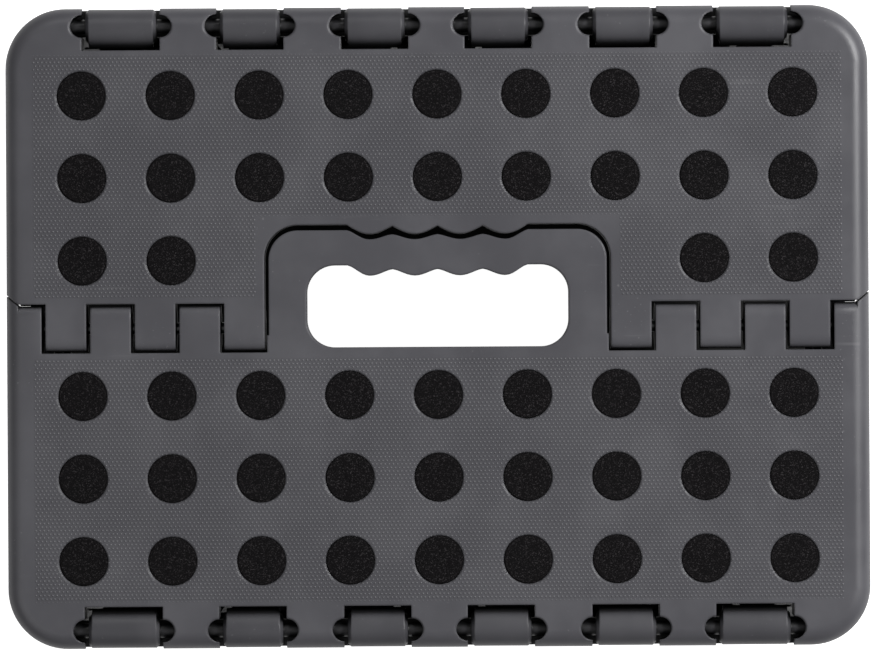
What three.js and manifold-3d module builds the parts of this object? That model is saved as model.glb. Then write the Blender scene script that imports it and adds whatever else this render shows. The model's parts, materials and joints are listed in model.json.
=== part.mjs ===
// A folding plastic step stool, open and standing on the floor.
// Two top halves meet in a finger hinge under the middle, hang on barrels along the tops of two legs,
// and two pairs of end panels fold inwards between the legs. Lifting the handle folds all of it flat.
// Millimetres, +Z up, X along the length, Y from front (-) to rear (+), origin on the floor at the centre.
import * as THREE from 'three';
import { mergeVertices } from 'three/addons/utils/BufferGeometryUtils.js';
import Module from 'manifold-3d';

// ---- Driving dimensions -------------------------------------------------------------------------

// The whole stool
const length = 295;
const depth = 219;
const height = 220;
const cornerRadius = 20.5; // of the top, seen from above
const edgeRadius = 6.2; // of the top's outer edges, and so the depth and inset of the outer hinges
const runningGap = 0.3; // between pieces that touch or turn in one another
const foldGap = 0.5; // between a folding half and the plane through its centre hinge

// The top halves
const centreHingeDepth = 19; // of the finger hinge's axis under the top surface
const skin = 3;
const ribWall = 2.4;
const outerWall = 3;

// The finger hinge between the halves
const fingerReach = 7.4; // from the middle to a finger's tip
const fingerGap = 1.4; // round a finger
const fingerPitch = 15.25;
const fingerTipRadius = 1.8;
const edgeFingerChamfer = 4.2; // of the slanted joint at each end of the hinge
const edgeFingerSlope = 0.8; // of that joint, in depth over length
const knuckleRadius = 6.5;
const hingePinRadius = 2;
const pinEndGap = 1; // between a pin's end and the end of its bore

// The handle, part of the front half, and the hole for the fingers
const handleHalfWidth = 57.7;
const handleReach = 33.6; // from the hinge axis
const handleCorner = 10;
const handleSideGap = 1.2;
const handleEndGap = 1.5;
const handleRootStep = 0.6; // the handle is this much wider beside the hinge
const handleRootTop = -2.5;
const scallopPitch = 15.5;
const scallopDepth = 3.2; // below the handle's end
const scallopRidge = 1.5; // the ridges between scallops are this much lower than the end
const recessCusp = 0.4; // the recess's cusps over those ridges are this much short of its end
const handleArm = 12.9; // beside the grip hole
const gripNear = -6.8;
const handleBar = 12.3; // beyond the grip hole
const gripCorner = 9.5;
const gripScallopDepth = 3.6;
const gripRidge = 1.4;
const handleWall = 2.6;

// The grip discs, set in the top in straight rows
const discRadius = 8.35;
const discPitchX = 30.35;
const discPitchY = 28.2;
const discFirstRow = 23.1; // from the middle
const discRows = 3; // on each half
const discRecess = 1.2;
const discSink = 0.2; // under the top surface
const stemRadius = 2.2;
const runnerWidth = 4;
const runnerThickness = 1.6;

// The outer hinges: barrels on the legs in slots of the top
const barrelPlaces = [21.1, 63.7, 107.8];
const barrelWidths = [20.5, 20.5, 24.2];
const barrelChamfer = 1.1;
const slotGap = 1.25; // beside a barrel
const slotRoom = 2.1; // behind a barrel's lug circle
const scoopRadius = 3.9; // round cuts where the stubs snap in
const stubRadius = 2.5;
const stubLength = 7.4;

// The legs
const legInset = 0.4; // of a leg's outer face from the top's edge
const legInnerOffset = 3.3; // of its inner face from the hinge axis
const legEndInset = 11.5; // of a leg's ends from the top's ends
const legEdgeRadius = 6;
const legSkin = 3;
const footWidth = 40; // beside the arch, at the floor
const archLean = 20; // of each side of the arch
const archHeight = 68;
const archCorner = 22;
const footHeight = 12;
const padFloor = 4;
const padWall = 1.8;

// The end panels and their upright hinges
const cornerHingeInset = 8; // of the hinges at the legs from the legs' ends
const endThickness = 8;
const endTopGap = 3; // under the finger hinge's knuckles
const endBottom = 12;
const endSkin = 2.8;
const endFootWidth = 41.7; // beside the arch
const endArchLean = 12;
const endArchHeight = 66;
const endArchCorner = 16;
const cornerKnuckleRadius = 3.8;
const cornerPinRadius = 1.7;
const lowArm = 32; // the middle of the lowest arm over the panel's bottom
const highArm = 23.5; // the middle of the highest one under its top
const armHeight = 20;
const armRoot = 11.4; // how far an arm reaches along its panel, from its hinge
const foldingKnuckleRadius = 4;
const foldingKnuckles = 4;
const foldingPinRadius = 1.7;
const endPocketColumns = 3;

// Facets
const cornerSteps = 4;
const edgeSteps = 3;
const roundSides = 12;
const boreSides = 8;
const stemSides = 4;
const waveSteps = 4; // for each scallop

// ---- Places worked out from them ----------------------------------------------------------------

const outerHinge = { y: depth / 2 - edgeRadius, z: height - edgeRadius };
const centreHinge = { y: 0, z: height - centreHingeDepth };
const hingeDrop = outerHinge.z - centreHinge.z;
const panelBottom = centreHinge.z + foldGap;
const slotWall = depth / 2 - 2 * edgeRadius - slotRoom;
const legOuter = depth / 2 - legInset;
const legInner = outerHinge.y - legInnerOffset;
const legTop = outerHinge.z - edgeRadius - runningGap;
const legHalfWidth = length / 2 - legEndInset;
const cornerHingeX = legHalfWidth - cornerHingeInset;
const archHalfFoot = legHalfWidth - footWidth;
const archHalfTop = archHalfFoot - archLean;
const foldingHingeX = cornerHingeX + hingeDrop; // the ends fold in step with the top
const endOuter = foldingHingeX - runningGap;
const endInner = endOuter - endThickness;
const endReach = legInner - runningGap;
const endTop = centreHinge.z - knuckleRadius - endTopGap;
const endArchHalf = endReach - endFootWidth;
const endArchHalfTop = endArchHalf - endArchLean;
const armEnds = [endBottom + lowArm, endTop - highArm];
const armPlaces = [armEnds[0], (armEnds[0] + armEnds[1]) / 2, armEnds[1]];
const gripHalfWidth = handleHalfWidth - handleArm;
const gripFar = handleReach - handleBar;
const far = 2 * (length + depth + height); // past everything, for cutters

// How many of each pattern fit: gaps beside the handle, always in pairs, scallops and discs
const fingerRoom = length / 2 - edgeFingerChamfer - handleHalfWidth - fingerGap / 2;
const fingerRows = 2 * Math.floor((fingerRoom / fingerPitch + 1) / 2);
const scallopPairs = Math.floor((gripHalfWidth - gripCorner) / scallopPitch); // on each side
const discsPerSide = Math.floor((length / 2 - outerWall - discRadius) / discPitchX);

// ---- Solids -------------------------------------------------------------------------------------

const wasm = await Module();
wasm.setup();
const { Manifold, Mesh: SolidMesh } = wasm;

function solidFrom(geometry) {
  geometry.deleteAttribute('normal');
  geometry.deleteAttribute('uv');
  const merged = mergeVertices(geometry, 1e-4);
  return new Manifold(
    new SolidMesh({
      numProp: 3,
      vertProperties: merged.attributes.position.array,
      triVerts: new Uint32Array(merged.index.array),
    }),
  );
}

const joined = (solids) => solids.reduce((sum, solid) => sum.add(solid));

function block([x0, x1], [y0, y1], [z0, z1]) {
  const box = new THREE.BoxGeometry(x1 - x0, y1 - y0, z1 - z0);
  return solidFrom(box.translate((x0 + x1) / 2, (y0 + y1) / 2, (z0 + z1) / 2));
}

// Round bars along X and Z, between two places on that axis
function barX(radius, [x0, x1], y, z, sides = boreSides) {
  const bar = new THREE.CylinderGeometry(radius, radius, x1 - x0, sides);
  return solidFrom(bar.rotateZ(Math.PI / 2).translate((x0 + x1) / 2, y, z));
}

function barZ(radius, [z0, z1], x, y, sides = boreSides) {
  const bar = new THREE.CylinderGeometry(radius, radius, z1 - z0, sides);
  return solidFrom(bar.rotateX(Math.PI / 2).translate(x, y, (z0 + z1) / 2));
}

function extruded(shape, thickness) {
  return new THREE.ExtrudeGeometry(shape, {
    depth: thickness,
    bevelEnabled: false,
    curveSegments: cornerSteps,
  });
}

// An outline drawn in X and Y, standing from z0 to z1
function plate(shape, [z0, z1]) {
  return solidFrom(extruded(shape, z1 - z0).translate(0, 0, z0));
}

// An outline drawn in Y and Z, running from x0 to x1
function barOfSection(shape, [x0, x1]) {
  const turn = new THREE.Matrix4().makeBasis(
    new THREE.Vector3(0, 1, 0),
    new THREE.Vector3(0, 0, 1),
    new THREE.Vector3(1, 0, 0),
  );
  return solidFrom(extruded(shape, x1 - x0).applyMatrix4(turn).translate(x0, 0, 0));
}

// An outline drawn in X and Z, running from y0 to y1
function wallOfOutline(shape, [y0, y1]) {
  const turn = new THREE.Matrix4().makeBasis(
    new THREE.Vector3(1, 0, 0),
    new THREE.Vector3(0, 0, 1),
    new THREE.Vector3(0, -1, 0),
  );
  return solidFrom(extruded(shape, y1 - y0).applyMatrix4(turn).translate(0, y1, 0));
}

const mirroredX = (solid) => solid.mirror([1, 0, 0]);
const mirroredY = (solid) => solid.mirror([0, 1, 0]);
const onBothSides = (solid) => solid.add(mirroredX(solid));

// ---- The top's outer form -----------------------------------------------------------------------

function roundedRing(inset, z) {
  const radius = cornerRadius - inset;
  const centreX = length / 2 - cornerRadius;
  const centreY = depth / 2 - cornerRadius;
  const ring = [];
  for (const [quarter, signX, signY] of [[0, 1, 1], [1, -1, 1], [2, -1, -1], [3, 1, -1]]) {
    for (let step = 0; step <= cornerSteps; step++) {
      const angle = ((quarter + step / cornerSteps) * Math.PI) / 2;
      ring.push([
        signX * centreX + radius * Math.cos(angle),
        signY * centreY + radius * Math.sin(angle),
        z,
      ]);
    }
  }
  return ring;
}

// A closed solid through rings of equally many points, listed from the lowest to the highest
function lofted(rings) {
  const count = rings[0].length;
  const faces = [];
  for (let ring = 0; ring < rings.length - 1; ring++) {
    for (let i = 0; i < count; i++) {
      const next = (i + 1) % count;
      const low = ring * count;
      const high = low + count;
      faces.push(low + i, low + next, high + next, low + i, high + next, high + i);
    }
  }
  const top = (rings.length - 1) * count;
  for (let i = 1; i < count - 1; i++) {
    faces.push(0, i + 1, i, top, top + i, top + i + 1);
  }
  const geometry = new THREE.BufferGeometry();
  geometry.setAttribute('position', new THREE.Float32BufferAttribute(rings.flat(2), 3));
  geometry.setIndex(faces);
  return solidFrom(geometry);
}

function topForm() {
  const rings = [roundedRing(0, panelBottom)];
  for (let step = 0; step <= edgeSteps; step++) {
    const angle = ((step / edgeSteps) * Math.PI) / 2;
    rings.push(
      roundedRing(
        edgeRadius * (1 - Math.cos(angle)),
        height - edgeRadius * (1 - Math.sin(angle)),
      ),
    );
  }
  return lofted(rings);
}

// ---- The joint between the halves ---------------------------------------------------------------

// The scalloped line across the handle's end, from -X to +X: soft waves on the handle and in the
// grip hole, and sharp cusps between rounded lobes on the recess
function scallops(end, depthBelow, ridgeBelow, sharp) {
  const points = [];
  const steps = 2 * scallopPairs * waveSteps;
  for (let step = 0; step <= steps; step++) {
    const phase = step / waveSteps - scallopPairs; // whole numbers lie on ridges
    const outer = Math.abs(phase) > scallopPairs - 0.5;
    const ridge = outer ? 0 : ridgeBelow;
    const wave = sharp ? Math.abs(Math.sin(Math.PI * phase)) : (1 - Math.cos(2 * Math.PI * phase)) / 2;
    points.push(
      new THREE.Vector2(phase * scallopPitch, end - ridge - (depthBelow - ridge) * wave),
    );
  }
  return points;
}

// The gap between a front finger and a rear finger, counted outwards from the handle
const gapPlace = (index) => handleHalfWidth + fingerGap / 2 + index * fingerPitch;

// One half's side of the joint, right of the handle, from the handle outwards.
// The front half ends at fingerReach in its own fingers and short of the rear fingers' tips.
function fingerLine(isFront) {
  const side = isFront ? 1 : -1;
  const atFrontFinger = isFront ? fingerReach : fingerReach + fingerGap;
  const atRearFinger = isFront ? -fingerReach - fingerGap : -fingerReach;
  const line = [];
  for (let index = 0; index < fingerRows; index++) {
    const frontIsInside = index % 2 === 0;
    const x = gapPlace(index) + ((frontIsInside ? -side : side) * fingerGap) / 2;
    const inside = frontIsInside ? atFrontFinger : atRearFinger;
    const outside = frontIsInside ? atRearFinger : atFrontFinger;
    line.push(new THREE.Vector2(x, inside), new THREE.Vector2(x, outside));
  }
  const slant = length / 2 - edgeFingerChamfer;
  line.push(new THREE.Vector2(slant, atFrontFinger));
  line.push(new THREE.Vector2(slant + far, atFrontFinger + far * edgeFingerSlope));
  return line;
}

const mirroredLine = (line) => line.map((p) => new THREE.Vector2(-p.x, p.y)).reverse();

// The outline of the handle, or of the recess around it, from the right root over to the left
function handleLine(halfWidth, end, corner, waves, rootY) {
  const arc = [];
  for (let step = 0; step <= cornerSteps; step++) {
    const angle = ((step / cornerSteps) * Math.PI) / 2;
    arc.push(
      new THREE.Vector2(
        halfWidth - corner + corner * Math.cos(angle),
        end - corner + corner * Math.sin(angle),
      ),
    );
  }
  const right = [new THREE.Vector2(halfWidth, rootY), ...arc];
  return [...right, ...waves.slice().reverse(), ...mirroredLine(right)];
}

function frontPlan() {
  const fingers = fingerLine(true).slice(2).reverse();
  const waves = scallops(handleReach, scallopDepth, scallopRidge, false);
  const handle = handleLine(handleHalfWidth, handleReach, handleCorner, waves, handleRootTop);
  const root = handleHalfWidth + handleRootStep;
  const step = [new THREE.Vector2(root, -fingerReach - fingerGap), new THREE.Vector2(root, handleRootTop)];
  return new THREE.Shape([
    new THREE.Vector2(-far, -far),
    new THREE.Vector2(far, -far),
    ...fingers,
    ...step,
    ...handle,
    ...mirroredLine(step),
    ...mirroredLine(fingers),
  ]);
}

function rearPlan() {
  const halfWidth = handleHalfWidth + handleSideGap;
  const fingers = [new THREE.Vector2(halfWidth, -fingerReach), ...fingerLine(false).slice(2)];
  const end = handleReach + handleEndGap;
  const waves = scallops(end, scallopDepth, recessCusp, true);
  const recess = handleLine(halfWidth, end, handleCorner + handleSideGap, waves, fingerReach);
  return new THREE.Shape([
    ...mirroredLine(fingers),
    ...recess.slice().reverse(),
    ...fingers,
    new THREE.Vector2(far, far * 2),
    new THREE.Vector2(-far, far * 2),
  ]);
}

// ---- Features of a top half, drawn for the rear one ---------------------------------------------

// What lies under the outer hinge, outside the round lugs, so that the half can turn on its leg
function lugRelief() {
  const start = Math.acos(-(legInnerOffset + runningGap) / edgeRadius);
  const shape = new THREE.Shape();
  const left = outerHinge.y - legInnerOffset - runningGap;
  shape.moveTo(left, outerHinge.z - far);
  shape.lineTo(outerHinge.y + far, outerHinge.z - far);
  shape.lineTo(outerHinge.y + far, outerHinge.z);
  shape.absarc(outerHinge.y, outerHinge.z, edgeRadius, 0, -start, true);
  return barOfSection(shape, [-far, far]);
}

// Slots for the barrels, the round scoops at their ends and the bores for the stubs
function outerHingeCuts() {
  const through = [panelBottom - far, height + far];
  const cuts = [];
  barrelPlaces.forEach((x, index) => {
    const half = barrelWidths[index] / 2;
    const slot = half + slotGap;
    cuts.push(block([x - slot, x + slot], [slotWall, depth], through));
    for (const end of [x - slot, x + slot]) {
      cuts.push(barZ(scoopRadius, through, end, outerHinge.y, roundSides));
    }
    const reach = half + stubLength + runningGap;
    cuts.push(barX(stubRadius + runningGap, [x - reach, x + reach], outerHinge.y, outerHinge.z));
  });
  return onBothSides(joined(cuts));
}

// Pockets that leave a skin and a grid of ribs, each under one grip disc
function underPockets(isRear) {
  const pockets = [];
  const halfX = (discPitchX - ribWall) / 2;
  const recessEdge = handleHalfWidth + handleSideGap + outerWall;
  for (let row = 0; row < discRows; row++) {
    const centre = discFirstRow + row * discPitchY;
    const near = row === 0 ? fingerReach + fingerGap + outerWall : centre - (discPitchY - ribWall) / 2;
    const farSide = Math.min(centre + (discPitchY - ribWall) / 2, slotWall - outerWall);
    for (let column = -discsPerSide; column <= discsPerSide; column++) {
      const x = column * discPitchX;
      let low = x - halfX;
      let high = x + halfX;
      if (isRear && row === 0) {
        if (x > 0) low = Math.max(low, recessEdge);
        else high = Math.min(high, -recessEdge);
      }
      const wide = high - low > 2 * ribWall;
      const clearOfRecess = !(isRear && row === 0) || Math.abs(x) > recessEdge - halfX;
      if (wide && clearOfRecess) {
        pockets.push(block([low, high], [near, farSide], [panelBottom - far, height - skin]));
      }
    }
  }
  return joined(pockets);
}

// ---- Grip discs ---------------------------------------------------------------------------------

// Each row of discs is one moulding: the discs, their stems and a runner under the skin
function discRowsOfHalf(isRear) {
  const rows = [];
  const all = Array.from({ length: 2 * discsPerSide + 1 }, (_, i) => (i - discsPerSide) * discPitchX);
  const besideHandle = (x) => Math.abs(x) - discRadius > handleHalfWidth + handleSideGap + outerWall;
  for (let row = 0; row < discRows; row++) {
    const y = discFirstRow + row * discPitchY;
    if (isRear && row === 0) {
      rows.push({ name: '1_left', y, places: all.filter((x) => x < 0 && besideHandle(x)) });
      rows.push({ name: '1_right', y, places: all.filter((x) => x > 0 && besideHandle(x)) });
    } else {
      rows.push({ name: String(row + 1), y, places: all });
    }
  }
  return rows;
}

const runnerTop = height - skin - runningGap;

function discRow({ y, places }) {
  const discBottom = height - discRecess + runningGap;
  const pieces = places.flatMap((x) => [
    barZ(discRadius, [discBottom, height - discSink], x, y, roundSides),
    barZ(stemRadius, [runnerTop - runnerThickness / 2, discBottom + discSink], x, y, stemSides),
  ]);
  const ends = [places[0] - stemRadius, places.at(-1) + stemRadius];
  const wide = [y - runnerWidth / 2, y + runnerWidth / 2];
  pieces.push(block(ends, wide, [runnerTop - runnerThickness, runnerTop]));
  return joined(pieces);
}

function discRowCuts({ y, places }) {
  const cuts = places.flatMap((x) => [
    barZ(discRadius + runningGap, [height - discRecess, height + skin], x, y, roundSides),
    barZ(stemRadius + runningGap, [height - skin - runnerThickness, height], x, y, stemSides),
  ]);
  const reach = stemRadius + runningGap;
  const ends = [places[0] - reach, places.at(-1) + reach];
  const half = runnerWidth / 2 + runningGap;
  const low = runnerTop - runnerThickness - runningGap;
  cuts.push(block(ends, [y - half, y + half], [low, height - skin]));
  return joined(cuts);
}

// ---- The finger hinge under the middle ----------------------------------------------------------

const knuckleEnd = length / 2 - edgeRadius / 2; // the outermost knuckle stops inside the edge

// The ranges in X of one half's fingers, right of the handle
function fingerRanges(isFront) {
  const ranges = [];
  for (let index = isFront ? 1 : 0; index < fingerRows; index += 2) {
    const from = index === 0 ? handleHalfWidth + handleSideGap : gapPlace(index) + fingerGap / 2;
    const to = index + 1 < fingerRows ? gapPlace(index + 1) - fingerGap / 2 : knuckleEnd;
    ranges.push([from, to]);
  }
  return ranges;
}

function knuckles(isFront) {
  const bars = fingerRanges(isFront).map((range) =>
    barX(knuckleRadius, range, centreHinge.y, centreHinge.z, roundSides),
  );
  return onBothSides(joined(bars));
}

// Rounds the upper edge of each finger's tip; the fingers point to +Y on the front half
function fingerTipRounds(isFront) {
  const y = fingerReach - fingerTipRadius;
  const z = height - fingerTipRadius;
  const shape = new THREE.Shape();
  shape.moveTo(y, height + skin);
  shape.lineTo(y, height);
  shape.absarc(y, z, fingerTipRadius, Math.PI / 2, 0, true);
  shape.lineTo(fingerReach + fingerGap / 2, z);
  shape.lineTo(fingerReach + fingerGap / 2, height + skin);
  const bars = fingerRanges(isFront)
    .filter(([, to]) => to < knuckleEnd)
    .map(([from, to]) => barOfSection(shape, [from - fingerGap / 4, to + fingerGap / 4]));
  const rounds = onBothSides(joined(bars));
  return isFront ? rounds : mirroredY(rounds);
}

const hingePinEnds = [handleHalfWidth + handleSideGap + pinEndGap, knuckleEnd - pinEndGap];

function hingePinBores() {
  const bore = barX(
    hingePinRadius + runningGap,
    [handleHalfWidth + handleRootStep + runningGap, length],
    centreHinge.y,
    centreHinge.z,
  );
  return onBothSides(bore);
}

// ---- The two top halves -------------------------------------------------------------------------

function halfWithEdges(plan, isRear) {
  const turned = (solid) => (isRear ? solid : mirroredY(solid));
  let half = topForm().intersect(plate(plan, [panelBottom - far, height + far]));
  half = half.subtract(turned(lugRelief())).subtract(turned(outerHingeCuts()));
  half = half.subtract(turned(underPockets(isRear)));
  half = half.subtract(turned(joined(discRowsOfHalf(isRear).map(discRowCuts))));
  half = half.subtract(fingerTipRounds(!isRear));
  return half.add(knuckles(!isRear)).subtract(hingePinBores());
}

function gripHole() {
  const waves = scallops(gripFar, gripScallopDepth, gripRidge, false);
  const outline = handleLine(gripHalfWidth, gripFar, gripCorner, waves, gripNear + gripCorner);
  const lower = new THREE.Shape(outline);
  const inner = gripHalfWidth - gripCorner;
  lower.absarc(-inner, gripNear + gripCorner, gripCorner, Math.PI, 1.5 * Math.PI, false);
  lower.absarc(inner, gripNear + gripCorner, gripCorner, 1.5 * Math.PI, 2 * Math.PI, false);
  return plate(lower, [panelBottom - far, height + far]);
}

// Hollows in the underside of the handle's two arms and its bar
function handlePockets() {
  const z = [panelBottom - far, height - skin];
  const arm = [gripHalfWidth + handleWall, handleHalfWidth - handleWall];
  const armEnd = handleReach - handleCorner;
  const bar = [gripFar + handleWall, handleReach - scallopDepth - handleWall];
  const barEnd = gripHalfWidth - gripCorner;
  return joined([
    onBothSides(block(arm, [gripNear, armEnd], z)),
    block([-barEnd, barEnd], bar, z),
  ]);
}

const rearTop = () => halfWithEdges(rearPlan(), true);

// The front half, parted along the handle's root: the handle is a piece of its own, welded on there
const frontHalf = halfWithEdges(frontPlan(), false);
const handleRoot = handleHalfWidth + handleRootStep + fingerGap;
const handleRoom = block([-handleRoot, handleRoot], [-fingerReach - fingerGap, far], [0, far]);
const frontTop = () => frontHalf.subtract(handleRoom);
const handle = () => frontHalf.intersect(handleRoom).subtract(gripHole()).subtract(handlePockets());

// ---- Legs, drawn for the rear one ---------------------------------------------------------------

// A barrel with its chamfered ends and the stubs that turn in the top's lugs
function barrel(x, width) {
  const half = width / 2;
  const radius = edgeRadius - runningGap;
  const stub = half + stubLength;
  const profile = [
    [0, -stub],
    [stubRadius, -stub],
    [stubRadius, -half],
    [radius - barrelChamfer, -half],
    [radius, -half + barrelChamfer],
    [radius, half - barrelChamfer],
    [radius - barrelChamfer, half],
    [stubRadius, half],
    [stubRadius, stub],
    [0, stub],
  ].map(([r, along]) => new THREE.Vector2(r, along));
  const turned = new THREE.LatheGeometry(profile, roundSides);
  const post = [x - half + barrelChamfer, x + half - barrelChamfer];
  return solidFrom(turned.rotateZ(-Math.PI / 2).translate(x, outerHinge.y, outerHinge.z)).add(
    block(post, [legInner, legOuter], [legTop - legSkin, outerHinge.z]),
  );
}

// The plan of a leg or of one of its feet, with the two outer corners rounded
function legPlan(fromX, toX, inset, roundStart) {
  const radius = legEdgeRadius - inset;
  const outer = legOuter - inset;
  const shape = new THREE.Shape();
  shape.moveTo(fromX, legInner + inset);
  shape.lineTo(toX, legInner + inset);
  shape.absarc(toX - radius, outer - radius, radius, 0, Math.PI / 2, false);
  if (roundStart) shape.absarc(fromX + radius, outer - radius, radius, Math.PI / 2, Math.PI, false);
  else shape.lineTo(fromX, outer);
  return shape;
}

// An arch open at the floor, as an outline across and up
function archOutline(halfFoot, halfTop, top, corner) {
  const shape = new THREE.Shape();
  const slope = (halfFoot - halfTop) / top;
  const low = -top / 2;
  shape.moveTo(-halfFoot + slope * low, low);
  shape.lineTo(halfFoot - slope * low, low);
  shape.lineTo(halfTop + slope * corner, top - corner);
  shape.quadraticCurveTo(halfTop, top, halfTop - corner, top);
  shape.lineTo(-halfTop + corner, top);
  shape.quadraticCurveTo(-halfTop, top, -halfTop - slope * corner, top - corner);
  return shape;
}

function legPockets() {
  const y = [legInner - far, legOuter - legSkin];
  const lowest = archHeight + 2 * outerWall;
  const highest = legTop - 2 * outerWall;
  const middle = (lowest + highest) / 2;
  const rows = [
    [lowest, middle - ribWall / 2],
    [middle + ribWall / 2, highest],
  ];
  const solidColumn = cornerHingeX - cornerKnuckleRadius - 2 * runningGap - outerWall;
  const columns = [];
  const perSide = Math.floor(solidColumn / discPitchX - 1 / 2); // whole columns beside the middle one
  for (let column = -perSide; column <= perSide; column++) {
    const x = column * discPitchX;
    columns.push([x - (discPitchX - ribWall) / 2, x + (discPitchX - ribWall) / 2]);
  }
  const outer = [(perSide + 1 / 2) * discPitchX + ribWall / 2, solidColumn];
  columns.push(outer, [-outer[1], -outer[0]]);
  const pockets = columns.flatMap((x) => rows.map((z) => block(x, y, z)));
  const foot = block(
    [archHalfFoot + outerWall, solidColumn],
    y,
    [footHeight + 2 * outerWall, lowest - ribWall],
  );
  pockets.push(onBothSides(foot));
  return joined(pockets);
}

// Room for an end panel's knuckle arm to turn in the leg
function armNotch(z) {
  const left = cornerHingeX - cornerKnuckleRadius - 2 * runningGap;
  return block(
    [left, legHalfWidth + outerWall],
    [legInner - outerWall, outerHinge.y + cornerKnuckleRadius + 2 * runningGap],
    [z - armHeight / 2 - runningGap, z + armHeight / 2 + runningGap],
  );
}

const padInnerX = archHalfFoot + outerWall;
const cornerPinEnds = [armPlaces[0] - armHeight, armPlaces.at(-1) + armHeight];

function leg() {
  const body = plate(legPlan(-legHalfWidth, legHalfWidth, 0, true), [footHeight + runningGap, legTop]);
  const arch = wallOfOutline(archOutline(archHalfFoot, archHalfTop, archHeight, archCorner), [0, depth]);
  const tenon = plate(legPlan(padInnerX + padWall + runningGap, legHalfWidth - padWall - runningGap,
    padWall + runningGap, false), [padFloor + runningGap, footHeight + outerWall]);
  const barrels = barrelPlaces.map((x, index) => barrel(x, barrelWidths[index]));
  const bore = barZ(cornerPinRadius + runningGap, [cornerPinEnds[0] - runningGap, height],
    cornerHingeX, outerHinge.y);
  return body
    .subtract(arch)
    .subtract(legPockets())
    .add(onBothSides(tenon))
    .add(onBothSides(joined(barrels)))
    .subtract(onBothSides(joined(armPlaces.map(armNotch))))
    .subtract(onBothSides(bore));
}

// A rubber shoe on the foot's tenon, drawn for the rear right foot
function footPad() {
  const outer = plate(legPlan(padInnerX, legHalfWidth, 0, false), [0, footHeight]);
  const socket = plate(legPlan(padInnerX + padWall, legHalfWidth - padWall, padWall, false),
    [padFloor, footHeight + outerWall]);
  return outer.subtract(socket);
}

const cornerPin = () => barZ(cornerPinRadius, cornerPinEnds, cornerHingeX, outerHinge.y);

// ---- End panels, drawn at the right end ---------------------------------------------------------

// The arm that carries a knuckle from the panel to its hinge at the leg, kept inside the circle it
// sweeps and out of the leg's inner face when folded
function cornerArm(z) {
  const leave = Math.PI / 3;
  const shape = new THREE.Shape();
  shape.absarc(0, 0, cornerKnuckleRadius, leave, 1.5 * Math.PI, false);
  shape.lineTo(endInner - cornerHingeX, -cornerKnuckleRadius);
  shape.lineTo(endInner - cornerHingeX, -armRoot);
  shape.lineTo(endOuter - cornerHingeX, -armRoot);
  shape.lineTo(endOuter - cornerHingeX, endReach - outerHinge.y);
  const arm = plate(shape, [z - armHeight / 2, z + armHeight / 2]);
  return arm.translate([cornerHingeX, outerHinge.y, 0]);
}

// The upright knuckles where two end panels meet; the rear one holds the lowest
const knuckleBase = endArchHeight + outerWall;
const knuckleStep = (endTop - knuckleBase) / foldingKnuckles;

function foldingKnuckleBars(isRear, radius, grow) {
  const bars = [];
  for (let index = isRear ? 0 : 1; index < foldingKnuckles; index += 2) {
    const low = knuckleBase + index * knuckleStep;
    const high = low + knuckleStep - runningGap;
    bars.push(barZ(radius, [low - grow, high + grow], foldingHingeX, 0, roundSides));
  }
  return joined(bars);
}

function endPockets() {
  const x = [endInner - far, endOuter - endSkin];
  const upper = [endArchHeight + 2 * outerWall, endTop - 2 * outerWall];
  const middle = (upper[0] + upper[1]) / 2;
  const from = foldingKnuckleRadius + runningGap + outerWall;
  const to = endReach - armRoot;
  const pitch = (to - from + ribWall) / endPocketColumns;
  const pockets = [];
  for (let column = 0; column < endPocketColumns; column++) {
    const y = [from + column * pitch, from + (column + 1) * pitch - ribWall];
    pockets.push(block(x, y, [upper[0], middle - ribWall / 2]));
    pockets.push(block(x, y, [middle + ribWall / 2, upper[1]]));
  }
  pockets.push(block(x, [endArchHalf + outerWall, to], [endBottom + 2 * outerWall, endArchHeight]));
  return joined(pockets);
}

// The rear right panel; the others are its mirror images, apart from whose knuckles they carry
function endPanel(isRear) {
  const body = block([endInner, endOuter], [runningGap, endReach], [endBottom, endTop]);
  const arch = archOutline(endArchHalf, endArchHalfTop, endArchHeight, endArchCorner);
  const clearance = foldingKnuckleBars(!isRear, foldingKnuckleRadius + runningGap, runningGap);
  const bore = barZ(foldingPinRadius + runningGap, [0, height], foldingHingeX, 0);
  const cornerBore = barZ(cornerPinRadius + runningGap, [0, height], cornerHingeX, outerHinge.y);
  return body
    .subtract(barOfSection(arch, [endInner - outerWall, endOuter + outerWall]))
    .subtract(endPockets())
    .add(joined(armPlaces.map(cornerArm)))
    .subtract(clearance)
    .add(foldingKnuckleBars(isRear, foldingKnuckleRadius, 0))
    .subtract(bore)
    .subtract(cornerBore);
}

const foldingPin = () => barZ(foldingPinRadius, [knuckleBase, endTop - pinEndGap], foldingHingeX, 0);

// ---- The assembly -------------------------------------------------------------------------------

const finish = (color, roughness, metalness) => () =>
  new THREE.MeshStandardMaterial({ color, roughness, metalness });
const greyPlastic = finish('#545458', 0.48, 0);
const blackGrip = finish('#181718', 0.95, 0);
const blackRubber = finish('#1c1c1e', 0.85, 0);
const steel = finish('#a9abae', 0.32, 1);

const stool = new THREE.Group();

function addNode(name, solid, material) {
  const { vertProperties, triVerts } = solid.getMesh();
  const geometry = new THREE.BufferGeometry();
  geometry.setAttribute('position', new THREE.BufferAttribute(vertProperties, 3));
  geometry.setIndex(new THREE.BufferAttribute(triVerts, 1));
  geometry.computeVertexNormals();
  const mesh = new THREE.Mesh(geometry, material());
  mesh.name = name;
  stool.add(mesh);
}

const placed = (solid, isRear, isRight) => {
  const turned = isRear ? solid : mirroredY(solid);
  return isRight ? turned : mirroredX(turned);
};

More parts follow.
